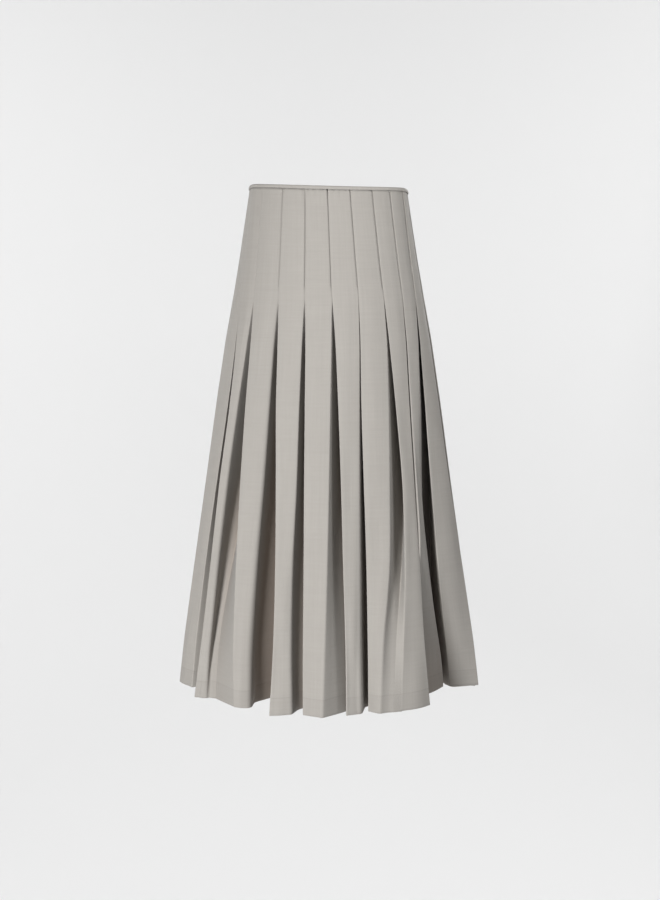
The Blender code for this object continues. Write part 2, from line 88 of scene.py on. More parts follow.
# The knife edge's angle round the oval, in degrees, at the waist and at seven drops below it, and the
# angle of the turn of the face before it at the same seven drops. 0 is centre front, 90 the wearer's left.
EDGE_DROPS = (0.162, 0.235, 0.335, 0.461, 0.590, 0.715, 0.818)
EDGES = [
    (-93.0, (-84.0, -84.3, -85.0, -86.0, -88.0, -90.3, -92.0),
     (-85.0, -87.0, -89.5, -92.3, -95.0, -97.5, -99.0)),
    (-75.0, (-66.6, -62.2, -60.6, -62.4, -62.4, -63.0, -65.0),
     (-67.0, -64.6, -65.5, -70.5, -76.0, -79.5, -81.0)),
    (-55.4, (-49.9, -47.8, -47.0, -46.0, -44.4, -42.4, -40.0),
     (-50.4, -51.6, -54.4, -57.8, -59.0, -58.8, -60.0)),
    (-33.9, (-30.6, -28.6, -27.0, -24.6, -22.8, -22.0, -22.4),
     (-31.0, -31.5, -31.9, -32.7, -34.0, -34.4, -33.0)),
    (-16.2, (-13.8, -12.5, -11.8, -11.2, -10.6, -10.2, -9.8),
     (-14.2, -14.6, -14.9, -15.0, -15.8, -15.4, -14.3)),
    (-0.4, (2.0, 3.7, 4.9, 5.8, 6.3, 6.8, 6.8),
     (1.7, 1.5, 0.9, 0.2, -0.6, -1.5, -2.2)),
    (15.7, (18.0, 17.7, 16.9, 16.9, 16.9, 16.4, 15.9),
     (17.7, 17.1, 15.8, 14.6, 13.7, 13.0, 13.0)),
    (32.9, (34.5, 35.1, 35.9, 36.4, 34.4, 31.0, 28.8),
     (34.2, 33.6, 31.8, 29.4, 26.8, 21.8, 19.3)),
    (50.1, (49.9, 48.3, 46.2, 44.9, 43.8, 42.6, 43.2),
     (49.5, 47.9, 45.8, 44.5, 43.5, 42.6, 43.2)),
    (69.4, (65.0, 62.8, 61.6, 61.4, 63.0, 70.0, 79.0),
     (64.4, 59.4, 54.0, 50.2, 53.0, 61.0, 75.0)),
    (89.0, (82.0, 82.0, 82.0, 82.8, 85.5, 89.5, 94.0),
     (81.2, 79.8, 78.4, 78.2, 81.5, 85.5, 89.5)),
    (108.8, (101.4, 101.5, 101.7, 102.3, 104.1, 106.8, 109.5),
     (100.8, 99.4, 97.6, 96.5, 97.7, 100.0, 102.5)),
    (126.8, (120.2, 120.3, 120.5, 121.0, 122.6, 124.4, 126.0),
     (119.6, 117.8, 115.6, 113.6, 113.8, 115.4, 116.5)),
    (142.9, (138.0, 137.9, 137.8, 138.2, 139.4, 140.8, 142.0),
     (137.4, 136.0, 134.4, 133.4, 133.6, 134.6, 135.5)),
    (157.7, (154.9, 154.8, 154.8, 155.1, 156.0, 157.0, 158.0),
     (154.4, 152.6, 150.4, 148.6, 148.0, 148.6, 149.0)),
    (171.3, (171.2, 170.8, 170.3, 170.0, 170.0, 170.2, 170.5),
     (170.8, 169.2, 167.4, 165.6, 164.6, 164.4, 164.5)),
    (185.5, (187.4, 187.5, 187.8, 188.1, 188.7, 189.2, 189.5),
     (187.0, 186.0, 185.0, 184.6, 184.4, 184.4, 184.5)),
    (199.5, (203.4, 203.3, 203.1, 203.0, 202.8, 202.6, 202.5),
     (203.0, 201.8, 200.4, 199.0, 197.8, 197.0, 196.5)),
    (214.1, (220.2, 219.9, 219.4, 219.0, 218.6, 218.2, 218.0),
     (219.8, 217.8, 215.2, 212.6, 211.0, 210.0, 209.5)),
    (229.9, (237.9, 237.4, 236.8, 236.4, 235.6, 234.8, 234.0),
     (237.4, 236.0, 233.8, 231.8, 229.8, 228.2, 227.0)),
    (247.5, (256.7, 256.2, 255.4, 254.5, 253.2, 251.6, 250.5),
     (256.2, 254.2, 251.4, 248.6, 246.0, 243.8, 242.5)),
]

# How each pleat hangs. Places are in millimetres from the knife edge's place on the oval: ahead is round the
# oval to the next pleat, in is towards the middle. The first two columns are the hidden fold half-way down,
# the rest are the hem: how deep the knife edge and the turn lie, how late each gets there, where the floor and
# the hidden fold are, how far the bends are rounded and how low the hem hangs.
FALL_COLUMNS = (
    "mid_ahead", "mid_in", "edge_in", "edge_late", "turn_in", "turn_ease", "floor_ahead", "floor_in",
    "fold_ahead", "fold_in", "soft_turn", "soft_floor", "hem_down",
)
FALL_ROWS = [
    (-6, 44, 2, 0, 5, 1.0, -14, 46, 0, 54, 8, 8, -4.0),
    (-43, 43, 11, 0, 22, 1.0, -50, 53, -49, 62, 2, 4, 0.0),
    (-40, 86, 19, 0, 22, 1.0, -66, 41, -53, 43, 9, 5, 0.0),
    (-23, 81, 10, 0, 30, 1.0, -48, 72, -27, 118, 14, 9, 4.0),
    (-4, 72, 17, 0, 22, 1.0, -12, 50, 0, 64, 5, 6, 1.0),
    (12, 72, 15, 0, 2, 1.0, -5, 32, 9, 46, 4, 12, 1.0),
    (21, 60, 30, 0, 20, 1.0, 2, 56, 13, 62, 5, 5, 0.0),
    (38, 56, 12, 0, 12, 1.0, -26, 16, -14, 15, 4, 9, 0.0),
    (21, 39, 11, 42, 15, 1.0, -16, 44, -6, 66, 2, 4, -6.0),
    (41, 34, 38, 9, 55, 2.2, 10, 74, 28, 74, 4, 6, -5.0),
    (22, 42, 4, 0, -0.5, 1.0, -20, 46, 8, 54, 3, 9, 6.0),
    (12, 42, 8, 0, 5, 1.0, -14, 46, 6, 54, 10, 9, 0.0),
    (8, 42, 10, 0, 6, 1.0, -13, 40, 4, 50, 7, 9, 1.0),
    (8, 42, 6, 0, 11, 1.0, -14, 48, 8, 54, 11, 8, 0.0),
    (8, 42, 11, 0, 4, 1.0, -16, 36, 4, 48, 6, 9, 1.0),
    (8, 42, 5, 0, 10, 1.0, -10, 48, 8, 54, 10, 8, 0.0),
    (8, 42, 9, 0, 4, 1.0, -9, 38, 4, 48, 6, 9, 0.0),
    (8, 42, 5, 0, 11, 1.0, -12, 48, 8, 54, 11, 8, 1.0),
    (4, 42, 11, 0, 4, 1.0, -14, 38, 2, 48, 7, 9, 0.0),
    (0, 42, 6, 0, 9, 1.0, -14, 46, 4, 52, 10, 8, 1.0),
    (-4, 42, 9, 0, 5, 1.0, -13, 40, 0, 52, 8, 9, -1.0),
]
FALLS = [dict(zip(FALL_COLUMNS, row)) for row in FALL_ROWS]
PLEATS = len(FALLS)
LAST_FRONT_PLEAT = 9
CENTRE_BACK_PLEAT = 15

# Between these depths inside the oval the colour is painted a little warmer and darker: painted shade for the
# little light that reaches deep in the folds.
DEEP_FOLD_SHADE_START, DEEP_FOLD_SHADE_END = 22 * MM, 75 * MM
DEEP_FOLD_PAINTED_SHADE = (0.92, 0.84, 0.79)

# The waist's height over a level ring, as a curve over x, its dip at both sides, and where both end.
WAIST_CURVE = (0.0004, -0.0242, 0.143)
WAIST_DIP = 0.0032
WAIST_HALF_WIDTH = 0.126
WAIST_CURVE_END = 0.16
# The gathers under the binding, and the share, pitch and phase of each ripple in them.
PUCKER_HEIGHT = 0.0009
PUCKER_MIDDLE = -0.010
PUCKER_SPREAD = 0.046
PUCKER_TOP = 0.0055
PUCKER_FADE = 0.019
PUCKER_RIPPLES = ((1.0, 660, 0.0), (0.8, 1090, 1.1), (0.5, 410, 2.3))
# The small unevenness of the cloth: the lengths and heights of its waves.
LONG_WAVE, SHORT_WAVE, STITCH_WAVE = 0.31, 0.17, 0.045
WAVE_HEIGHT, TWIST_HEIGHT, STITCH_HEIGHT = 1.1 * MM, 0.5 * MM, 0.12 * MM
UNEVENNESS_SEED = 7
# Where the pleats' lengths begin to differ, and the length that the hem is told from.
HEM_FALL_START = 0.45
HEM_FALL_MIDDLE = 1.5
# The heights of the turned-up hem's rows inside.
TURN_UP_HEIGHTS = (0.5 * MM, 3 * MM, 8 * MM, 13 * MM, 18 * MM, 23 * MM, HEM_DEPTH)

# The stage: the floor's drop, the backdrop's distance, the radius of the bend between, and half the width.
FLOOR_DROP = -3.0
FLOOR_FRONT = -9.0
BACKDROP_PLACE = 6.0
BACKDROP_TOP = 6.0
BEND_RADIUS = 2.5
BEND_STEPS = 16
HALF_STAGE = 14.0
# Each light's place, what it points at, its size and its power in watts.
LIGHTS = {
    "key": ((-1.5, -3.3, -0.55), (0.0, 0.0, -0.5), (0.65, 0.65), 166.0),
    "fill": ((0.85, -0.6, 0.35), (0.12, -0.05, -0.15), (0.5, 0.5), 7.2),
    "back left": ((1.9, 3.2, 1.3), (0.0, 0.0, -0.4), (1.0, 1.0), 75.0),
    "back right": ((-2.1, 3.0, 0.9), (0.0, 0.0, -0.4), (1.0, 1.0), 35.0),
    "backdrop left": ((-3.3, 2.6, 0.6), (-0.5, 6.0, -0.9), (2.0, 4.0), 90.0),
    "backdrop right": ((3.3, 2.6, 0.6), (0.5, 6.0, -0.9), (2.0, 4.0), 94.0),
}
WORLD_STRENGTH = 0.18

CAMERA_PLACE = (0.0024, -2.7, -0.092)
CAMERA_TILT = 7.0
CAMERA_LENS = 66.52
CAMERA_SENSOR = 36.0


class SkirtSettings(bpy.types.PropertyGroup):
    """What a maker would change on the skirt."""

    cloth_colour: bpy.props.FloatVectorProperty(
        name="Cloth colour", description="Colour of the cloth in full light",
        subtype="COLOR", size=3, min=0.0, max=1.0, default=(0.305, 0.288, 0.266),
    )
    metal_colour: bpy.props.FloatVectorProperty(
        name="Metal colour", description="Colour of the zip's slider and pull",
        subtype="COLOR", size=3, min=0.0, max=1.0, default=(0.62, 0.60, 0.57),
    )
    cloth_thickness: bpy.props.FloatProperty(
        name="Cloth thickness", description="Thickness of one layer of cloth",
        subtype="DISTANCE", unit="LENGTH", default=0.38 * MM, min=0.1 * MM, max=2 * MM,
    )
    layer_pitch: bpy.props.FloatProperty(
        name="Layer pitch", description="Distance between the stitched pleats' layers",
        subtype="DISTANCE", unit="LENGTH", default=0.48 * MM, min=0.2 * MM, max=3 * MM,
    )
    rows: bpy.props.IntProperty(
        name="Rows", description="Rings of points from the waist to the hem", default=104, min=20, max=200,
    )
    floor_colour: bpy.props.FloatVectorProperty(
        name="Floor colour", description="Colour of the floor and the backdrop",
        subtype="COLOR", size=3, min=0.0, max=1.0, default=(0.80, 0.80, 0.80),
    )


def settings():
    return bpy.context.scene.skirt_settings


def smooth(share):
    """Eases a share from 0 to 1 with level ends."""
    share = np.clip(share, 0.0, 1.0)
    return share * share * (3 - 2 * share)


def curve_through(places, values, at):
    """A smooth curve through a few values that never swings beyond its neighbours' slopes."""
    places, values = np.asarray(places, float), np.asarray(values, float)
    slopes = np.diff(values) / np.diff(places)
    tangents = np.empty(len(values))
    tangents[0], tangents[-1] = slopes[0], slopes[-1]
    tangents[1:-1] = (slopes[1:] + slopes[:-1]) / 2
    k = int(np.clip(np.searchsorted(places, at) - 1, 0, len(places) - 2))
    width = places[k + 1] - places[k]
    t = min(max((at - places[k]) / width, 0.0), 1.0)
    return (
        (2 * t**3 - 3 * t**2 + 1) * values[k]
        + (t**3 - 2 * t**2 + t) * width * tangents[k]
        + (3 * t**2 - 2 * t**3) * values[k + 1]
        + (t**3 - t**2) * width * tangents[k + 1]
    )


def figure_at(drop):
    """The oval's half width and its half depths at the front and the back."""
    return tuple(np.interp(drop, FIGURE[:, 0], FIGURE[:, k]) for k in (1, 2, 3))


def oval_at(angle, drop):
    """The oval's half width, its half depth on that angle's side, and the angle in radians."""
    half_width, front, back = figure_at(drop)
    t = math.radians(angle)
    return half_width, front if math.cos(t) > 0 else back, t


def outward_at(angle, drop):
    """The direction straight out of the oval at that angle."""
    half_width, depth, t = oval_at(angle, drop)
    normal = np.array((depth * math.sin(t), -half_width * math.cos(t)))
    return normal / np.linalg.norm(normal)


def on_figure(angle, inset, drop):
    """The point at that angle round the oval, that far inside it."""
    half_width, depth, t = oval_at(angle, drop)
    place = np.array((half_width * math.sin(t), -depth * math.cos(t)))
    return place - inset * outward_at(angle, drop)


def degrees_per_metre(angle, drop):
    half_width, depth, t = oval_at(angle, drop)
    return math.degrees(1 / math.hypot(half_width * math.cos(t), depth * math.sin(t)))


def openness(drop):
    """The share of the way from the stitching's end to the hem."""
    return max(0.0, (drop - STITCHED_LENGTH) / (SKIRT_LENGTH - STITCHED_LENGTH))


def edge_angle(index, drop):
    waist, edges, _ = EDGES[index]
    if drop < STITCHED_LENGTH:
        lean = drop / STITCHED_LENGTH
        return waist + (edges[0] - waist) * (1.25 * lean - 0.25 * lean**2)
    return curve_through(EDGE_DROPS, edges, drop)


def turn_angle(index, drop):
    return curve_through(EDGE_DROPS, EDGES[index][2], max(drop, STITCHED_LENGTH))


def creases(index, drop):
    """Turn, floor, hidden fold and knife edge of a pleat in plan, and where its face lies free. The hidden
    fold swings in from flat where the stitching ends, and on to its own place at the hem."""
    lap = 360.0 * (index // PLEATS)
    index = index % PLEATS
    fall = FALLS[index]
    pitch = settings().layer_pitch
    edge = edge_angle(index, drop)
    share = openness(drop)
    per_metre = degrees_per_metre(edge, drop)
    reach = np.interp(drop, (0.0, STITCHED_LENGTH), (UNDERLAY_AT_WAIST, UNDERLAY_AT_HIP))
    short = TURN_SHORT * per_metre
    turn = edge - short
    if share > 0:
        turn_here = min(turn_angle(index, drop), edge - short)
        turn += (turn_here - turn) * smooth(share / 0.05)
    root = on_figure(edge + lap, 0.0, drop)
    outward = outward_at(edge + lap, drop)
    along = np.array((-outward[1], outward[0]))
    swung = 1 - (1 - min(share / SWUNG_BY, 1.0)) ** 3
    spread = smooth((share - SPREADS_FROM) / (1 - SPREADS_FROM))

    def at(ahead, inset):
        return root + ahead * along - inset * outward

    def settled(flat, half_way, hem):
        return flat + swung * (half_way - flat) + spread * (hem - half_way)

    flat_turn, flat_edge = TURN_LAYERS * pitch, EDGE_LAYERS * pitch
    turn_inset = flat_turn + (fall["turn_in"] * MM - flat_turn) * share ** fall["turn_ease"]
    edge_inset = flat_edge + (fall["edge_in"] * MM - flat_edge) * share**1.25
    edge_inset += fall["edge_late"] * MM * smooth((share - 0.55) / 0.45)
    turn_place = on_figure(turn + lap, turn_inset, drop)
    start = on_figure(edge - short + lap, flat_turn, drop)
    end = on_figure(edge + reach * per_metre + lap, FOLD_LAYERS * pitch, drop)
    half_way = at(fall["mid_ahead"] * MM, fall["mid_in"] * MM)
    fold_place = settled(end, half_way, at(fall["fold_ahead"] * MM, fall["fold_in"] * MM))
    flat_floor = start + 0.4 * (end - start) - 0.5 * pitch * outward
    half_floor = turn_place + 0.6 * (half_way - turn_place) - 4 * MM * outward - 2 * MM * along
    floor_place = settled(flat_floor, half_floor, at(fall["floor_ahead"] * MM, fall["floor_in"] * MM))
    edge_place = on_figure(edge + lap, edge_inset, drop)
    free = on_figure(edge + lap + (reach + FACE_FREE) * per_metre, 0.0, drop)
    return [turn_place, floor_place, fold_place, edge_place, free]


def unit(vector):
    return vector / max(np.linalg.norm(vector), 1e-9)


def pressed_fold(before, corner, after, radius, knife_edge, count=5):
    """Points round an ironed fold: half a turn where it lies flat, less where it has opened."""
    to_before, to_after = unit(before - corner), unit(after - corner)
    lean = 0.05 if knife_edge else -0.05
    middle = unit(to_before + to_after + lean * unit(-corner))
    side = np.array((-middle[1], middle[0])) * (1 if knife_edge else -1)
    half = 0.5 * math.acos(float(np.clip(to_before.dot(to_after), -1, 1)))
    swing = math.pi / 2 - half
    along = radius * math.sin(half)
    points = []
    for k in range(count):
        turn = swing * (1 - 2 * k / (count - 1))
        points.append(
            corner + (0.8 * along - radius * math.cos(turn) + radius * math.cos(swing)) * middle
            + radius * math.sin(turn) * side
        )
    return points


def soft_bend(before, corner, after, reach, count):
    """Points round a soft bend that leaves the straight lines at that reach from the corner."""
    reach_before = min(reach, 0.45 * np.linalg.norm(before - corner))
    reach_after = min(reach, 0.45 * np.linalg.norm(after - corner))
    start = corner + reach_before * unit(before - corner)
    end = corner + reach_after * unit(after - corner)
    return [
        (1 - t) ** 2 * start + 2 * t * (1 - t) * corner + t**2 * end
        for t in (k / (count - 1) for k in range(count))
    ]


FOLD_POINTS = 5
FACE_POINTS = 9
BEND_POINTS = 5
LAYER_POINTS = 3
POINTS_PER_PLEAT = 2 * FOLD_POINTS + FACE_POINTS + 2 * BEND_POINTS + 3 * LAYER_POINTS
FACE_CENTRE = FOLD_POINTS + FACE_POINTS // 2
RETURN_START = POINTS_PER_PLEAT - LAYER_POINTS - 1


def between(start, end, count):
    """Evenly spaced points between two places, without the places themselves."""
    return [start + (end - start) * (k + 1) / (count + 1) for k in range(count)]


def face_points(index, start, end, free, drop):
    """The points of a face from its knife edge to its turn: round the oval where it is stitched, and bowed
    a little outwards where it hangs. At centre back its middle point keeps to the middle plane."""
    width = np.linalg.norm(end - start)
    outward = unit(start + end)
    radius = 0.9 * figure_at(drop)[0]
    half = FACE_POINTS // 2
    middle_share = 0.5
    if index == CENTRE_BACK_PLEAT:
        free = on_figure(180.0, 0.0, drop)
        middle_share = start[0] / (start[0] - end[0])
        outward = np.array((0.0, 1.0))
    points = []
    for k in range(1, FACE_POINTS + 1):
        first_half = k <= half + 1
        low, high = (start, free) if first_half else (free, end)
        t = k / (half + 1) if first_half else (k - half - 1) / (FACE_POINTS - half)
        way = high - low
        round_it = t * (1 - t) * np.linalg.norm(way) / (2 * radius) * np.array((way[1], -way[0]))
        stitched = low + t * way + round_it
        along = middle_share * t if first_half else middle_share + (1 - middle_share) * t
        bow = 1.5 * width**2 / (8 * radius) * 4 * along * (1 - along)
        hanging = start + along * (end - start) + bow * outward
        points.append(stitched + smooth(openness(drop) / 0.2) * (hanging - stitched))
    return points


def section(drop):
    """The plan points of the whole cloth at that height, from the first pleat's knife edge on."""
    share = openness(drop)
    fold_radius = settings().layer_pitch / 2 + share * 1.1 * MM
    plan = [creases(index, drop) for index in range(PLEATS + 1)]
    rounded = []
    for index in range(PLEATS):
        fold, edge, free = plan[index][2:5]
        turn = plan[index + 1][0]
        middle = free if share < 0.05 else (edge + turn) / 2
        rounded.append(pressed_fold(fold, edge, middle, fold_radius, True, FOLD_POINTS))
    full_turn = rounded[0]
    points = []
    for index in range(PLEATS):
        fall = FALLS[(index + 1) % PLEATS]
        free = plan[index][4]
        turn, floor, fold, next_edge, _ = plan[index + 1]
        edge_fold = rounded[index]
        next_fold = rounded[index + 1] if index + 1 < PLEATS else full_turn
        turned = soft_bend(edge_fold[-1], turn, floor, fall["soft_turn"] * MM * share**0.7, BEND_POINTS)
        bedded = soft_bend(turn, floor, fold, fall["soft_floor"] * MM * share**0.7, BEND_POINTS)
        tucked = pressed_fold(floor, fold, next_edge, fold_radius, False, FOLD_POINTS)
        points += edge_fold
        points += face_points(index, edge_fold[-1], turned[0], free, drop)
        points += turned
        points += between(turned[-1], bedded[0], LAYER_POINTS)
        points += bedded
        points += between(bedded[-1], tucked[0], LAYER_POINTS)
        points += tucked
        points += between(tucked[-1], next_fold[0], LAYER_POINTS)
    return np.array(points)


def row_drops():
    """The drops of the cloth's rings: closer together where the pleats open and at the hem's fold."""
    top = BINDING_HEIGHT + SEAM_GAP
    anchors = (top, 0.040, 0.150, 0.240, SKIRT_LENGTH - HEM_DEPTH - 0.002, SKIRT_LENGTH)
    shares = (0.0, 0.09, 0.22, 0.36, 0.94, 1.0)
    steps = np.linspace(0.0, 1.0, settings().rows)
    return np.interp(steps, shares, anchors)


def waist_tilt(x, drop):
    """The waist sits a little lower at the wearer's left and dips at both sides, down to the hip."""
    level, slope, bow = WAIST_CURVE
    lift = level + slope * x + bow * x**2
    dip = WAIST_DIP * np.minimum(np.abs(x) / WAIST_HALF_WIDTH, 1.01) ** 36
    return (lift - dip) * (1 - smooth(drop / WAIST_CURVE_END))


def puckers(x, y, drop):
    """Small gathers under the binding at the front, as an outward move."""
    front = smooth((-y - 0.03) / 0.03)
    spread = 0.25 + np.exp(-(((x - PUCKER_MIDDLE) / PUCKER_SPREAD) ** 4))
    fade = np.exp(-(np.maximum(drop - PUCKER_TOP, 0) / PUCKER_FADE) ** 1.5)
    ripple = sum(size * np.sin(x * pitch + phase) for size, pitch, phase in PUCKER_RIPPLES)
    return PUCKER_HEIGHT * front * spread * fade * ripple


def cloth_rings():
    """The points of the whole cloth, ring by ring, with the small unevenness of real cloth."""
    drops = row_drops()
    rings = np.array([section(drop) for drop in drops])
    count = rings.shape[1]
    pleat = np.arange(count) // POINTS_PER_PLEAT
    place = np.arange(count) % POINTS_PER_PLEAT
    rng = np.random.default_rng(UNEVENNESS_SEED)
    phases = rng.uniform(0, 2 * math.pi, (PLEATS, 4))
    sizes = rng.uniform(0.6, 1.2, (PLEATS, 4))
    face = (place >= FOLD_POINTS) & (place < FOLD_POINTS + FACE_POINTS)
    across = np.where(face, (place - FOLD_POINTS + 1) / (FACE_POINTS + 1), 0.0)
    points = np.zeros((len(drops), count, 3))
    for k, drop in enumerate(drops):
        ring = rings[k]
        share = openness(drop)
        outward = ring / np.linalg.norm(ring, axis=1)[:, None]
        wave = sizes[pleat, 0] * np.sin(2 * math.pi * drop / LONG_WAVE + phases[pleat, 0])
        wave += 0.6 * sizes[pleat, 1] * np.sin(2 * math.pi * drop / SHORT_WAVE + phases[pleat, 1])
        swell = WAVE_HEIGHT * share**0.7 * wave * np.sin(math.pi * across)
        swell += TWIST_HEIGHT * share * np.sin(2 * math.pi * across + 9 * drop + phases[pleat, 2]) * face
        stitched = STITCH_HEIGHT * np.sin(2 * math.pi * drop / STITCH_WAVE + phases[pleat, 3])
        stitched *= 1 - smooth(share / 0.1)
        move = swell + stitched * np.sin(math.pi * across) + puckers(ring[:, 0], ring[:, 1], drop)
        ring = ring + move[:, None] * outward
        points[k, :, :2] = ring
        points[k, :, 2] = -drop + waist_tilt(ring[:, 0], drop)
    down = np.array([fall["hem_down"] for fall in FALLS])
    share_on = place / POINTS_PER_PLEAT
    falls = down[pleat] * (1 - share_on) + np.roll(down, -1)[pleat] * share_on
    fade = smooth((drops - HEM_FALL_START) / (SKIRT_LENGTH - HEM_FALL_START))
    points[:, :, 2] -= fade[:, None] * (falls[None, :] - HEM_FALL_MIDDLE) * MM
    return drops, points


def sheet_normals(grid):
    """Unit normals of a grid of points, on the side away from the skirt's middle."""
    across = np.gradient(grid, axis=1)
    down = np.gradient(grid, axis=0)
    normals = np.cross(across, -down)
    return normals / np.maximum(np.linalg.norm(normals, axis=2), 1e-12)[:, :, None]


def with_turned_up_hem(grid, drops):
    """Adds the hem's turn-up: the cloth goes round the hem's fold and up inside. Gives the longer grid and
    how far each of its rows lies from the hem, which is below nought inside."""
    gap = 1.1 * settings().cloth_thickness
    above = SKIRT_LENGTH - drops
    normals = sheet_normals(grid)
    inside = [(grid[-1] - 0.5 * gap * normals[-1] - np.array((0, 0, 0.45 * gap)), -0.05 * MM)]
    for height in TURN_UP_HEIGHTS:
        k = int(np.searchsorted(-above, -height))
        t = (above[k - 1] - height) / (above[k - 1] - above[k])
        ring = grid[k - 1] + t * (grid[k] - grid[k - 1])
        normal = normals[k - 1] + t * (normals[k] - normals[k - 1])
        inside.append((ring - gap * normal, -height))
    rows = np.concatenate([grid, np.array([ring for ring, _ in inside])])
    return rows, np.concatenate([above, [height for _, height in inside]])


def fold_depth(grid):
    """How far each point of a grid lies inside the oval that the faces hang on."""
    x, y, z = np.moveaxis(grid, 2, 0)
    half_width, front, back = figure_at(-z)
    share = np.hypot(x / half_width, y / np.where(y < 0, front, back))
    return np.hypot(x, y) * (1 / share - 1)


def finish_sheet(name, grid, around, down, above_hem, painted_edge_highlight, node):
    """Makes a sheet of cloth from a grid of points, with a UV map in metres."""
    rows, columns = grid.shape[:2]
    faces = []
    for i in range(rows - 1):
        for j in range(columns - 1):
            a, b = i * columns + j, (i + 1) * columns + j
            faces.append((b, b + 1, a + 1, a))
    mesh = bpy.data.meshes.new(name)
    mesh.from_pydata(grid.reshape(-1, 3).tolist(), [], faces)
    places = np.empty((rows, columns, 2))
    places[:, :, 0] = around
    places[:, :, 1] = down
    loops = np.empty(len(mesh.loops), dtype=np.int32)
    mesh.loops.foreach_get("vertex_index", loops)
    uv = mesh.uv_layers.new(name="cloth")
    uv.data.foreach_set("uv", places.reshape(-1, 2)[loops].ravel())
    # The painted edge highlight's mask, and each point's depth inside the oval, which the painted shade in the
    # folds follows.
    marks = {"above_hem": above_hem, "painted_edge_highlight": painted_edge_highlight, "fold_depth": fold_depth(grid)}
    for label, values in marks.items():
        attribute = mesh.attributes.new(label, "FLOAT", "POINT")
        attribute.data.foreach_set("value", np.broadcast_to(values, (rows, columns)).ravel())
    mesh.shade_smooth()
    piece = bpy.data.objects.new(name, mesh)
    bpy.context.scene.collection.objects.link(piece)
    wall = piece.modifiers.new("wall", "SOLIDIFY")
    wall.thickness = settings().cloth_thickness
    wall.offset = 0.0
    wall.use_even_offset = False
    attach(piece, "skirt")
    if node:
        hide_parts(node)
    return piece


def seam_lap(rings, drops, last):
    """Columns that carry a panel on past its last edge, inside its neighbour, from the zip's end down."""
    count = rings.shape[1]
    below_zip = 0.04 + 0.96 * smooth((drops - ZIP_END_DROP) / 0.02)
    edge = rings[:, last % count]
    inward = -edge * np.array((1, 1, 0)) / np.hypot(edge[:, 0], edge[:, 1])[:, None]
    columns = []
    for share in (0.12, 1.0, 2.0):
        k = math.ceil(share)
        way = rings[:, (last + k) % count] - edge
        step = way * (share / k) + SEAM_LAP_INSET * inward
        columns.append(edge + step * below_zip[:, None])
    return np.stack(columns, axis=1)


def cloth_panel(name, rings, drops, first, last, node, lapped=False):
    """A pleated panel, cut half a seam's gap short at both ends, with its hem turned up."""
    count = rings.shape[1]
    numbers = [k % count for k in range(first, last + 1)]
    grid = rings[:, numbers].copy()
    for near, far in ((0, 1), (-1, -2)):
        way = grid[:, far] - grid[:, near]
        length = np.linalg.norm(way, axis=1)[:, None]
        grid[:, near] += way / length * np.minimum(SEAM_GAP / 2, 0.4 * length)
    if lapped:
        lap = seam_lap(rings, drops, last)
        grid = np.concatenate([grid, lap], axis=1)
        numbers += [numbers[-1]] * lap.shape[1]
    steps = np.linalg.norm(np.diff(grid, axis=1), axis=2)
    around = np.concatenate([[0.0], np.cumsum(steps[int(0.55 * len(drops))])])
    grid, above = with_turned_up_hem(grid, drops)
    down = np.where(above >= 0, above - SKIRT_LENGTH, -SKIRT_LENGTH + above)
    order = np.array(numbers) % POINTS_PER_PLEAT
    # Mask of the painted highlight along each knife edge, where light catches the fold.
    painted_edge_highlight = np.exp(-((order - (FOLD_POINTS - 1) / 2) ** 2) / 5.0)
    panel = finish_sheet(
        name, grid, around[None, :], down[:, None], above[:, None], painted_edge_highlight[None, :], node,
    )
    panel.data.materials.append(cloth_material())
    return panel


class Nodes:
    """Adds shader nodes to a tree and links them, one call a node."""

    def __init__(self, tree):
        self.tree = tree

    def add(self, kind, inputs=None, **values):
        node = self.tree.nodes.new(kind)
        for name, value in values.items():
            setattr(node, name, value)
        return self.feed(node, inputs or {})

    def feed(self, node, inputs):
        """Links or sets a node's inputs, by name or number."""
        for name, value in inputs.items():
            self.put(node.inputs[name], value)
        return node

    def put(self, socket, value):
        if isinstance(value, bpy.types.NodeSocket):
            self.tree.links.new(value, socket)
        else:
            socket.default_value = value

    def math(self, operation, first, second=0.0, third=0.0):
        node = self.add("ShaderNodeMath", {0: first, 1: second, 2: third}, operation=operation)
        return node.outputs[0]

    def vector(self, operation, first, second):
        return self.add("ShaderNodeVectorMath", {0: first, 1: second}, operation=operation).outputs[0]

    def ramp(self, value, low, high):
        """Eases from 0 to 1 as the value goes from low to high."""
        limits = {"Value": value, "From Min": low, "From Max": high}
        return self.add("ShaderNodeMapRange", limits, interpolation_type="SMOOTHSTEP").outputs["Result"]

    def noise(self, place, scale, detail, roughness=0.5):
        look = {"Vector": place, "Scale": scale, "Detail": detail, "Roughness": roughness}
        return self.add("ShaderNodeTexNoise", look).outputs[0]

    def bump(self, height, strength, distance):
        look = {"Height": height, "Strength": strength, "Distance": distance}
        return self.add("ShaderNodeBump", look).outputs[0]

    def mix(self, share, first, second):
        node = self.add("ShaderNodeMix", data_type="RGBA")
        for name, value in (("Factor", share), ("A", first), ("B", second)):
            self.put(next(s for s in node.inputs if s.name == name and s.enabled), value)
        return next(s for s in node.outputs if s.enabled)


def group_tree(name, inputs, outputs):
    """A shader node group with named sockets."""
    tree = bpy.data.node_groups.new(name, "ShaderNodeTree")
    for kind, sockets in (("INPUT", inputs), ("OUTPUT", outputs)):
        for label, socket_type, default in sockets:
            socket = tree.interface.new_socket(name=label, in_out=kind, socket_type=socket_type)
            if default is not None:
                socket.default_value = default
    return tree


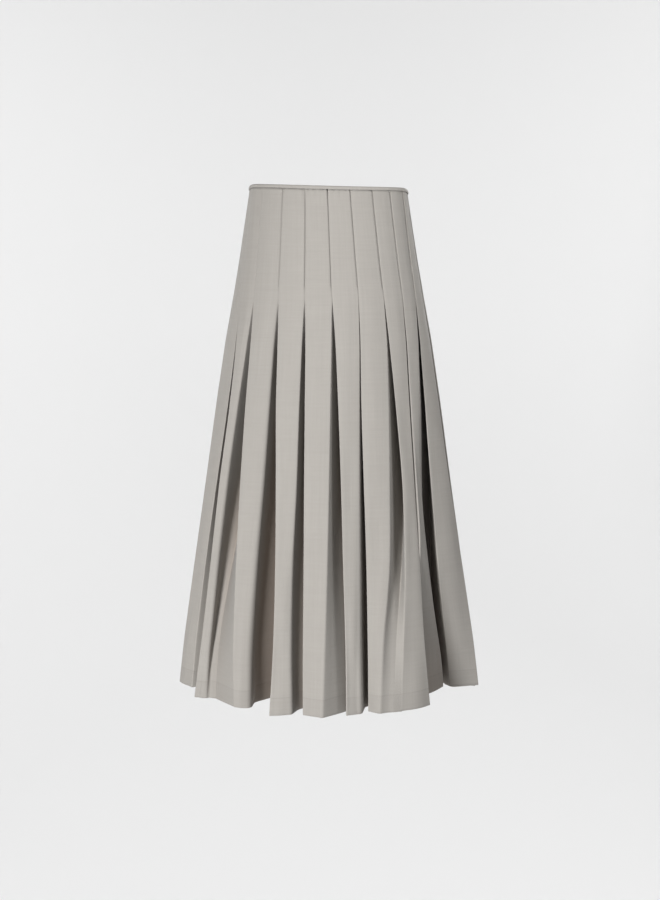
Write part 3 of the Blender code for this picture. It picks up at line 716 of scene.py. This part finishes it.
def woven_group():
    """A plain weave with slubs: tone and height from a place on the cloth in metres."""
    if "plain_weave" in bpy.data.node_groups:
        return bpy.data.node_groups["plain_weave"]
    tree = group_tree(
        "plain_weave",
        [("Place", "NodeSocketVector", None), ("Threads per metre", "NodeSocketFloat", 1500.0),
         ("Slub", "NodeSocketFloat", 1.0)],
        [("Tone", "NodeSocketFloat", None), ("Height", "NodeSocketFloat", None)],
    )
    n = Nodes(tree)
    given = n.add("NodeGroupInput").outputs
    split = n.add("ShaderNodeSeparateXYZ", {0: given["Place"]}).outputs
    turn = n.math("MULTIPLY", given["Threads per metre"], math.pi)
    warp = n.math("SINE", n.math("MULTIPLY", split["X"], turn))
    weft = n.math("SINE", n.math("MULTIPLY", split["Y"], turn))
    crossing = n.math("MULTIPLY", warp, weft)

    def streaks(across, along, detail, seed):
        stretched = n.vector("MULTIPLY", given["Place"], (across, along, 1.0))
        noise = n.noise(n.vector("ADD", stretched, (seed, 2 * seed, 0.0)), 1.0, detail, 0.6)
        return n.math("SUBTRACT", noise, 0.5)

    upright = streaks(900.0, 14.0, 2.0, 3.1)
    level = streaks(20.0, 900.0, 2.0, 17.3)
    broad_upright = streaks(260.0, 5.0, 2.0, 41.0)
    broad_level = streaks(8.0, 240.0, 2.0, 59.0)
    cloud = streaks(30.0, 22.0, 3.0, 77.0)
    fine = n.math("ADD", upright, level)
    broad = n.math("ADD", broad_upright, broad_level)
    slub = n.math("MULTIPLY", n.math("ADD", fine, n.math("MULTIPLY", broad, 0.8)), given["Slub"])
    tone = n.math("ADD", n.math("MULTIPLY", slub, 0.10), n.math("MULTIPLY", cloud, 0.05))
    tone = n.math("ADD", tone, n.math("MULTIPLY", crossing, 0.035))
    height = n.math("ADD", n.math("MULTIPLY", crossing, 0.5), n.math("MULTIPLY", slub, 0.6))
    n.add("NodeGroupOutput", {"Tone": tone, "Height": height})
    return tree


def toned(n, colour, tone):
    """A colour made lighter or darker by a small tone."""
    factor = n.math("ADD", tone, 1.0)
    return n.add("ShaderNodeVectorMath", {0: colour, "Scale": factor}, operation="SCALE").outputs[0]


def new_material(name):
    """An empty material with a Principled shader, and what adds nodes to it."""
    material = bpy.data.materials.new(name)
    material.use_nodes = True
    material.node_tree.nodes.clear()
    n = Nodes(material.node_tree)
    shader = n.add("ShaderNodeBsdfPrincipled")
    n.add("ShaderNodeOutputMaterial", {"Surface": shader.outputs[0]})
    return material, n, shader


def cloth_material():
    """The skirt's cloth: greige plain weave, with a painted highlight along the knife edges, painted shade in
    the folds far inside the oval, and painted shade on the two-layer hem where less light shines through.
    """
    if "greige_cloth" in bpy.data.materials:
        return bpy.data.materials["greige_cloth"]
    material, n, shader = new_material("greige_cloth")
    place = n.add("ShaderNodeUVMap", uv_map="cloth").outputs[0]
    weave = n.feed(n.add("ShaderNodeGroup", node_tree=woven_group()), {"Place": place})
    above = n.add("ShaderNodeAttribute", attribute_name="above_hem").outputs["Fac"]
    painted_edge_highlight = n.add("ShaderNodeAttribute", attribute_name="painted_edge_highlight").outputs["Fac"]
    # Painted shade: the turned-up hem's two layers are painted darker, for the light that shines through them
    # less.
    doubled_hem_shade = n.math("SUBTRACT", 1.0, n.ramp(above, HEM_DEPTH - 0.4 * MM, HEM_DEPTH + 0.4 * MM))
    from_line = n.math("ABSOLUTE", n.math("SUBTRACT", n.math("ABSOLUTE", above), HEM_DEPTH))
    hem_line = n.math("SUBTRACT", 1.0, n.ramp(from_line, 0.3 * MM, 1.3 * MM))
    tone = n.math("ADD", weave.outputs["Tone"], n.math("MULTIPLY", doubled_hem_shade, -0.045))
    tone = n.math("ADD", tone, n.math("MULTIPLY", hem_line, -0.06))
    # Painted highlight: a touch lighter along the knife edges, where light catches the fold.
    tone = n.math("ADD", tone, n.math("MULTIPLY", painted_edge_highlight, 0.03))
    # Painted shade: far inside the oval the colour is painted warmer and darker, for the little light that
    # reaches into the folds.
    depth = n.add("ShaderNodeAttribute", attribute_name="fold_depth").outputs["Fac"]
    base = tuple(settings().cloth_colour)
    deep = tuple(value * share for value, share in zip(base, DEEP_FOLD_PAINTED_SHADE))
    cloth = n.mix(n.ramp(depth, DEEP_FOLD_SHADE_START, DEEP_FOLD_SHADE_END), (*base, 1.0), (*deep, 1.0))
    height = n.math("ADD", weave.outputs["Height"], n.math("MULTIPLY", hem_line, -0.8))
    n.feed(shader, {
        "Base Color": toned(n, cloth, tone), "Normal": n.bump(height, 0.35, 0.00035), "Roughness": 0.82,
        "Specular IOR Level": 0.28, "Sheen Weight": 0.12, "Sheen Roughness": 0.45,
    })
    return material


class SKIRT_OT_cloth(bpy.types.Operator):
    """Builds the three pleated panels"""

    bl_idname = "skirt.cloth"
    bl_label = "Pleated panels"

    def execute(self, context):
        drops, rings = cloth_rings()
        lap = rings.shape[1]
        half_return = LAYER_POINTS // 2 + 1
        side = RETURN_START + half_return
        first = side - POINTS_PER_PLEAT
        left = LAST_FRONT_PLEAT * POINTS_PER_PLEAT + side
        centre = CENTRE_BACK_PLEAT * POINTS_PER_PLEAT + FACE_CENTRE
        cloth_panel("front_cloth", rings, drops, first, left, "front_panel")
        cloth_panel("back_left_cloth", rings, drops, left, centre, "back_left_panel", lapped=True)
        cloth_panel("back_right_cloth", rings, drops, centre, first + lap, "back_right_panel")
        return {"FINISHED"}


# The binding's section from its outer foot over the top to its inner foot: out from the oval and down from
# the waist, in millimetres.
BINDING_PROFILE = (
    (0.55, 4.95), (0.95, 4.8), (1.15, 4.21), (1.3, 3.28), (1.35, 2.34), (1.2, 1.33),
    (0.8, 0.55), (0.15, 0.12), (-0.8, 0.0), (-1.8, 0.08), (-2.6, 0.47), (-3.0, 1.17),
    (-3.15, 2.34), (-3.1, 3.59), (-2.9, 4.52), (-2.4, 4.91),
)
BINDING_STEPS = 300
BINDING_SLIT = 0.35
STITCH_ROW_LENGTH = 0.70
STITCH_OUT = 0.55 * MM
STITCH_DROP = 5.35 * MM
STITCH_PITCH = 2.9 * MM
STITCH_LENGTH = 2.1 * MM
STITCH_RADIUS = 0.17 * MM


def binding_place(angle, out, down):
    """A place on the binding: out from the oval and down from the waist, both in metres."""
    x, y = on_figure(angle, 0.0, BINDING_HEIGHT) + out * outward_at(angle, BINDING_HEIGHT)
    return np.array((x, y, -down + float(waist_tilt(x, down))))


def waist_angles(count):
    """Angles round the waist from one side of the back opening to the other, at equal steps of length."""
    angles = np.linspace(180.0 + BINDING_SLIT, 540.0 - BINDING_SLIT, 2400)
    points = np.array([on_figure(angle, 0.0, BINDING_HEIGHT) for angle in angles])
    reach = np.concatenate([[0.0], np.cumsum(np.linalg.norm(np.diff(points, axis=0), axis=1))])
    return np.interp(np.linspace(0.0, reach[-1], count), reach, angles), reach[-1]


class SKIRT_OT_binding(bpy.types.Operator):
    """Builds the narrow rolled binding round the waist and the row of stitches along its foot"""

    bl_idname = "skirt.binding"
    bl_label = "Waist binding"

    def execute(self, context):
        angles, length = waist_angles(BINDING_STEPS)
        grid = np.empty((len(BINDING_PROFILE), BINDING_STEPS, 3))
        for j, angle in enumerate(angles):
            x, y = on_figure(angle, 0.0, BINDING_HEIGHT)
            roll = 0.12 * math.sin(x * 900 + 0.5) + 0.1 * math.sin(x * 420 + 4 * y)
            for i, (out, down) in enumerate(BINDING_PROFILE):
                grid[i, j] = binding_place(angle, (out + roll * (out > 0)) * MM, down * MM)
        profile = np.array(BINDING_PROFILE) * MM
        over = np.concatenate([[0.0], np.cumsum(np.linalg.norm(np.diff(profile, axis=0), axis=1))])
        around = np.linspace(0.0, length, BINDING_STEPS)
        binding = finish_sheet(
            "rolled_binding", grid[::-1], around[None, :], over[::-1, None] + 2.0, 1.0, 0.0, "waist_binding",
        )
        binding.data.materials.append(cloth_material())
        self.stitches()
        return {"FINISHED"}

    def stitches(self):
        """A row of small stitches in the groove at the binding's foot."""
        base = small_ball(8, 6)
        angles, _ = waist_angles(int(STITCH_ROW_LENGTH / STITCH_PITCH))
        placements = []
        for angle in angles[1:-1]:
            centre = binding_place(angle, STITCH_OUT, STITCH_DROP)
            ahead = binding_place(angle + 0.3, STITCH_OUT, STITCH_DROP) - centre
            placements.append((centre, ahead, (STITCH_LENGTH / 2, STITCH_RADIUS, STITCH_RADIUS)))
        thread = copies("binding_stitches", base, placements)
        thread.data.materials.append(thread_material())
        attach(thread, "skirt")


def small_ball(segments, rings):
    """The points and faces of a ball of radius 1, added as a primitive and taken away again."""
    bpy.ops.object.select_all(action="DESELECT")
    bpy.ops.mesh.primitive_uv_sphere_add(segments=segments, ring_count=rings, radius=1.0)
    ball = bpy.context.object
    points = np.array([v.co[:] for v in ball.data.vertices])
    faces = [tuple(p.vertices) for p in ball.data.polygons]
    mesh = ball.data
    bpy.data.objects.remove(ball)
    bpy.data.meshes.remove(mesh)
    return points, faces


def copies(name, base, placements):
    """One mesh with a copy of the base at each place, turned along its direction and scaled."""
    points, faces = base
    all_points, all_faces = [], []
    for centre, ahead, scale in placements:
        turn = np.array(Vector(ahead).to_track_quat("X", "Z").to_matrix())
        all_faces += [tuple(k + len(all_points) * len(points) for k in face) for face in faces]
        all_points.append((points * np.array(scale)) @ turn.T + np.array(centre))
    mesh = bpy.data.meshes.new(name)
    mesh.from_pydata(np.concatenate(all_points).tolist(), [], all_faces)
    mesh.shade_smooth()
    piece = bpy.data.objects.new(name, mesh)
    bpy.context.scene.collection.objects.link(piece)
    return piece


def thread_material():
    """Twisted sewing thread, a little darker than the cloth."""
    material, n, shader = new_material("sewing_thread")
    noise = n.noise(n.add("ShaderNodeTexCoord").outputs["Object"], 900.0, 2.0)
    tone = n.math("MULTIPLY", n.math("SUBTRACT", noise, 0.5), 0.3)
    colour = toned(n, tuple(0.72 * c for c in settings().cloth_colour), tone)
    n.feed(shader, {"Base Color": colour, "Normal": n.bump(noise, 0.5, 0.0001), "Roughness": 0.6})
    return material


TAPE_TOP_DROP = 9.0 * MM
TAPE_LENGTH = 158.0 * MM
TAPE_INSET = 4.7 * MM
TAPE_ROWS = 60
# The places across a tape, from its inner edge, and how far each is lifted there, where the tape rolls over.
TAPE_ACROSS = np.array((0.45, 0.75, 1.3, 2.2, 4.0, 6.0, 8.0, 9.6, 10.3, 10.6)) * MM
TAPE_LIFTS = np.array((1.0, 0.45, 0.1, 0.0, 0.0, 0.0, 0.0, 0.0, 0.0, 0.0)) * 0.35 * MM
COIL_PITCH = 1.25 * MM
COIL_LIFT = 0.95 * MM
TOOTH_HALF_SIZES = (1.55 * MM, 0.36 * MM, 0.42 * MM)
# Each hard piece's name, solid, body and the width of its eased edges.
CASTINGS = (
    ("slider_casting", "zip_slider", "skirt", 0.22 * MM),
    ("pull_tab", "zip_pull", "zip_pull", 0.16 * MM),
)


def tape_place(side, across, down, lift=0.0):
    """A place on the zip's tapes: across from the middle, down from their top, lift towards the wearer."""
    drop = TAPE_TOP_DROP + down
    angle = 180.0 - side * across * degrees_per_metre(180.0, drop)
    x, y = on_figure(angle, TAPE_INSET + lift, drop)
    return np.array((x, y, -drop))


class SKIRT_OT_zip(bpy.types.Operator):
    """Builds the concealed zip at centre back: two woven tapes, the coil, the slider and its pull"""

    bl_idname = "skirt.zip"
    bl_label = "Zip"

    def execute(self, context):
        self.tapes()
        self.coil()
        metal = metal_material()
        for name, node, body, width in CASTINGS:
            piece = eased_copy(name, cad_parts[node], width)
            piece.data.materials.append(metal)
            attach(piece, body)
            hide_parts(node)
        return {"FINISHED"}

    def tapes(self):
        """The two woven tapes, on either side of the seam."""
        downs = np.linspace(0.0, TAPE_LENGTH, TAPE_ROWS)
        tape_finish = tape_material()
        for side, name, node in ((1, "tape_left", "zip_tape"), (-1, "tape_right", None)):
            grid = np.array([
                [tape_place(side, across, down, lift) for across, lift in zip(TAPE_ACROSS, TAPE_LIFTS)]
                for down in downs
            ])
            if side < 0:
                grid = grid[:, ::-1]
            tape = finish_sheet(
                name, grid, TAPE_ACROSS[None, :] + 3.0, -downs[:, None], 1.0, 0.0, node,
            )
            tape.data.materials.append(tape_finish)

    def coil(self):
        """The teeth of the closed coil, by turns from one tape and the other."""
        base = small_ball(10, 6)
        placements = []
        for k in range(int(TAPE_LENGTH / COIL_PITCH) - 6):
            down = (k + 4) * COIL_PITCH
            side = 1 if k % 2 else -1
            centre = tape_place(side, 0.35 * MM, down, COIL_LIFT)
            ahead = tape_place(side, 1.35 * MM, down + 0.25 * MM, COIL_LIFT) - centre
            placements.append((centre, ahead, TOOTH_HALF_SIZES))
        coil = copies("zip_coil", base, placements)
        coil.data.materials.append(coil_material())
        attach(coil, "skirt")


def eased_copy(name, node, width):
    """A copy of a solid with its flat faces made whole and its edges rounded over."""
    mesh = node.data.copy()
    mesh.materials.clear()
    body = bmesh.new()
    body.from_mesh(mesh)
    bmesh.ops.remove_doubles(body, verts=body.verts, dist=0.01 * MM)
    bmesh.ops.dissolve_limit(body, angle_limit=math.radians(2.0), verts=body.verts, edges=body.edges)
    body.to_mesh(mesh)
    body.free()
    piece = bpy.data.objects.new(name, mesh)
    bpy.context.scene.collection.objects.link(piece)
    mesh.shade_smooth()
    rounding = piece.modifiers.new("eased edges", "BEVEL")
    rounding.width = width
    rounding.segments = 3
    rounding.limit_method = "ANGLE"
    rounding.angle_limit = math.radians(25.0)
    rounding.use_clamp_overlap = True
    rounding.harden_normals = True
    return piece


def tape_material():
    """Woven zip tape with a herringbone twill."""
    material, n, shader = new_material("woven_tape")
    place = n.add("ShaderNodeUVMap", uv_map="cloth").outputs[0]
    split = n.add("ShaderNodeSeparateXYZ", {0: place}).outputs
    fold = n.math("PINGPONG", split["X"], 2.2 * MM)
    twill = n.math("SINE", n.math("MULTIPLY", n.math("ADD", fold, split["Y"]), 2 * math.pi / (0.9 * MM)))
    colour = toned(n, tuple(0.86 * c for c in settings().cloth_colour), n.math("MULTIPLY", twill, 0.07))
    n.feed(shader, {"Base Color": colour, "Normal": n.bump(twill, 0.4, 0.0002), "Roughness": 0.75})
    return material


def coil_material():
    """Nylon zip coil: faintly glossy, with small changes of tone from tooth to tooth."""
    material, n, shader = new_material("nylon_coil")
    noise = n.noise(n.add("ShaderNodeTexCoord").outputs["Object"], 420.0, 1.0)
    tone = n.math("MULTIPLY", n.math("SUBTRACT", noise, 0.5), 0.2)
    colour = toned(n, tuple(0.95 * c for c in settings().cloth_colour), tone)
    n.feed(shader, {"Base Color": colour, "Roughness": 0.35})
    return material


def metal_material():
    """Plated zinc: soft cloudy polish, fine scratches and a little cloudy change of tone."""
    material, n, shader = new_material("plated_metal")
    place = n.add("ShaderNodeTexCoord").outputs["Object"]
    cloud = n.noise(place, 350.0, 3.0)
    scratch = n.noise(n.vector("MULTIPLY", place, (5200.0, 5200.0, 260.0)), 1.0, 2.0)
    tone = n.math("MULTIPLY", n.math("SUBTRACT", cloud, 0.5), 0.16)
    rough = n.math("ADD", n.math("MULTIPLY", cloud, 0.16), n.math("MULTIPLY", scratch, 0.14))
    n.feed(shader, {
        "Base Color": toned(n, tuple(settings().metal_colour), tone), "Metallic": 1.0,
        "Roughness": n.math("ADD", rough, 0.12), "Normal": n.bump(scratch, 0.12, 0.00004),
    })
    return material


def area_light(name, place, target, size, power):
    """A rectangular light at a place, turned to its target."""
    data = bpy.data.lights.new(name, "AREA")
    data.shape = "RECTANGLE"
    data.size, data.size_y = size
    data.energy = power
    light = bpy.data.objects.new(name, data)
    light.location = place
    light.rotation_euler = (Vector(target) - Vector(place)).to_track_quat("-Z", "Y").to_euler()
    bpy.context.scene.collection.objects.link(light)


def backdrop():
    """Pale paper that runs over the floor and bends up behind."""
    bend_start = BACKDROP_PLACE - BEND_RADIUS
    profile = [(FLOOR_FRONT, FLOOR_DROP), (bend_start, FLOOR_DROP)]
    for k in range(1, BEND_STEPS + 1):
        turn = math.pi / 2 * k / BEND_STEPS
        up = FLOOR_DROP + BEND_RADIUS - BEND_RADIUS * math.cos(turn)
        profile.append((bend_start + BEND_RADIUS * math.sin(turn), up))
    profile.append((BACKDROP_PLACE, BACKDROP_TOP))
    mesh = bpy.data.meshes.new("backdrop")
    verts = [(side * HALF_STAGE, y, z) for y, z in profile for side in (-1, 1)]
    faces = [(2 * k, 2 * k + 1, 2 * k + 3, 2 * k + 2) for k in range(len(profile) - 1)]
    mesh.from_pydata(verts, [], faces)
    mesh.shade_smooth()
    material, n, shader = new_material("backdrop_paper")
    paper = {"Base Color": (*settings().floor_colour, 1.0), "Roughness": 0.95, "Specular IOR Level": 0.1}
    n.feed(shader, paper)
    mesh.materials.append(material)
    piece = bpy.data.objects.new("backdrop", mesh)
    bpy.context.scene.collection.objects.link(piece)


class SKIRT_OT_stage(bpy.types.Operator):
    """Builds the pale floor and backdrop, the soft lights and the camera"""

    bl_idname = "skirt.stage"
    bl_label = "Stage, lights and camera"

    def execute(self, context):
        scene = context.scene
        scene.view_settings.view_transform = "Standard"
        backdrop()
        world = bpy.data.worlds.new("studio")
        world.use_nodes = True
        background = world.node_tree.nodes["Background"]
        background.inputs["Color"].default_value = (1.0, 1.0, 1.0, 1.0)
        background.inputs["Strength"].default_value = WORLD_STRENGTH
        scene.world = world
        for name, light in LIGHTS.items():
            area_light(name, *light)
        camera = bpy.data.objects.new("camera", bpy.data.cameras.new("camera"))
        camera.data.lens = CAMERA_LENS
        camera.data.sensor_width = CAMERA_SENSOR
        camera.data.sensor_fit = "AUTO"
        camera.location = CAMERA_PLACE
        camera.rotation_euler = (math.radians(90.0 - CAMERA_TILT), 0.0, 0.0)
        scene.collection.objects.link(camera)
        scene.camera = camera
        return {"FINISHED"}


class SKIRT_PT_pieces(bpy.types.Panel):
    """The skirt's sizes, colours and pieces"""

    bl_idname = "SKIRT_PT_pieces"
    bl_label = "Pleated skirt"
    bl_space_type = "VIEW_3D"
    bl_region_type = "UI"
    bl_category = "Skirt"

    def draw(self, context):
        for name in SkirtSettings.__annotations__:
            self.layout.prop(context.scene.skirt_settings, name)
        for operator in OPERATORS:
            self.layout.operator(operator.bl_idname)


OPERATORS = (SKIRT_OT_cloth, SKIRT_OT_binding, SKIRT_OT_zip, SKIRT_OT_stage)
CLASSES = (SkirtSettings, *OPERATORS, SKIRT_PT_pieces)


def register():
    for each in CLASSES:
        bpy.utils.register_class(each)
    bpy.types.Scene.skirt_settings = bpy.props.PointerProperty(type=SkirtSettings)


def unregister():
    del bpy.types.Scene.skirt_settings
    for each in reversed(CLASSES):
        bpy.utils.unregister_class(each)


def main():
    register()
    bpy.ops.skirt.cloth()
    bpy.ops.skirt.binding()
    bpy.ops.skirt.zip()
    bpy.ops.skirt.stage()


if __name__ == "__main__":
    main()
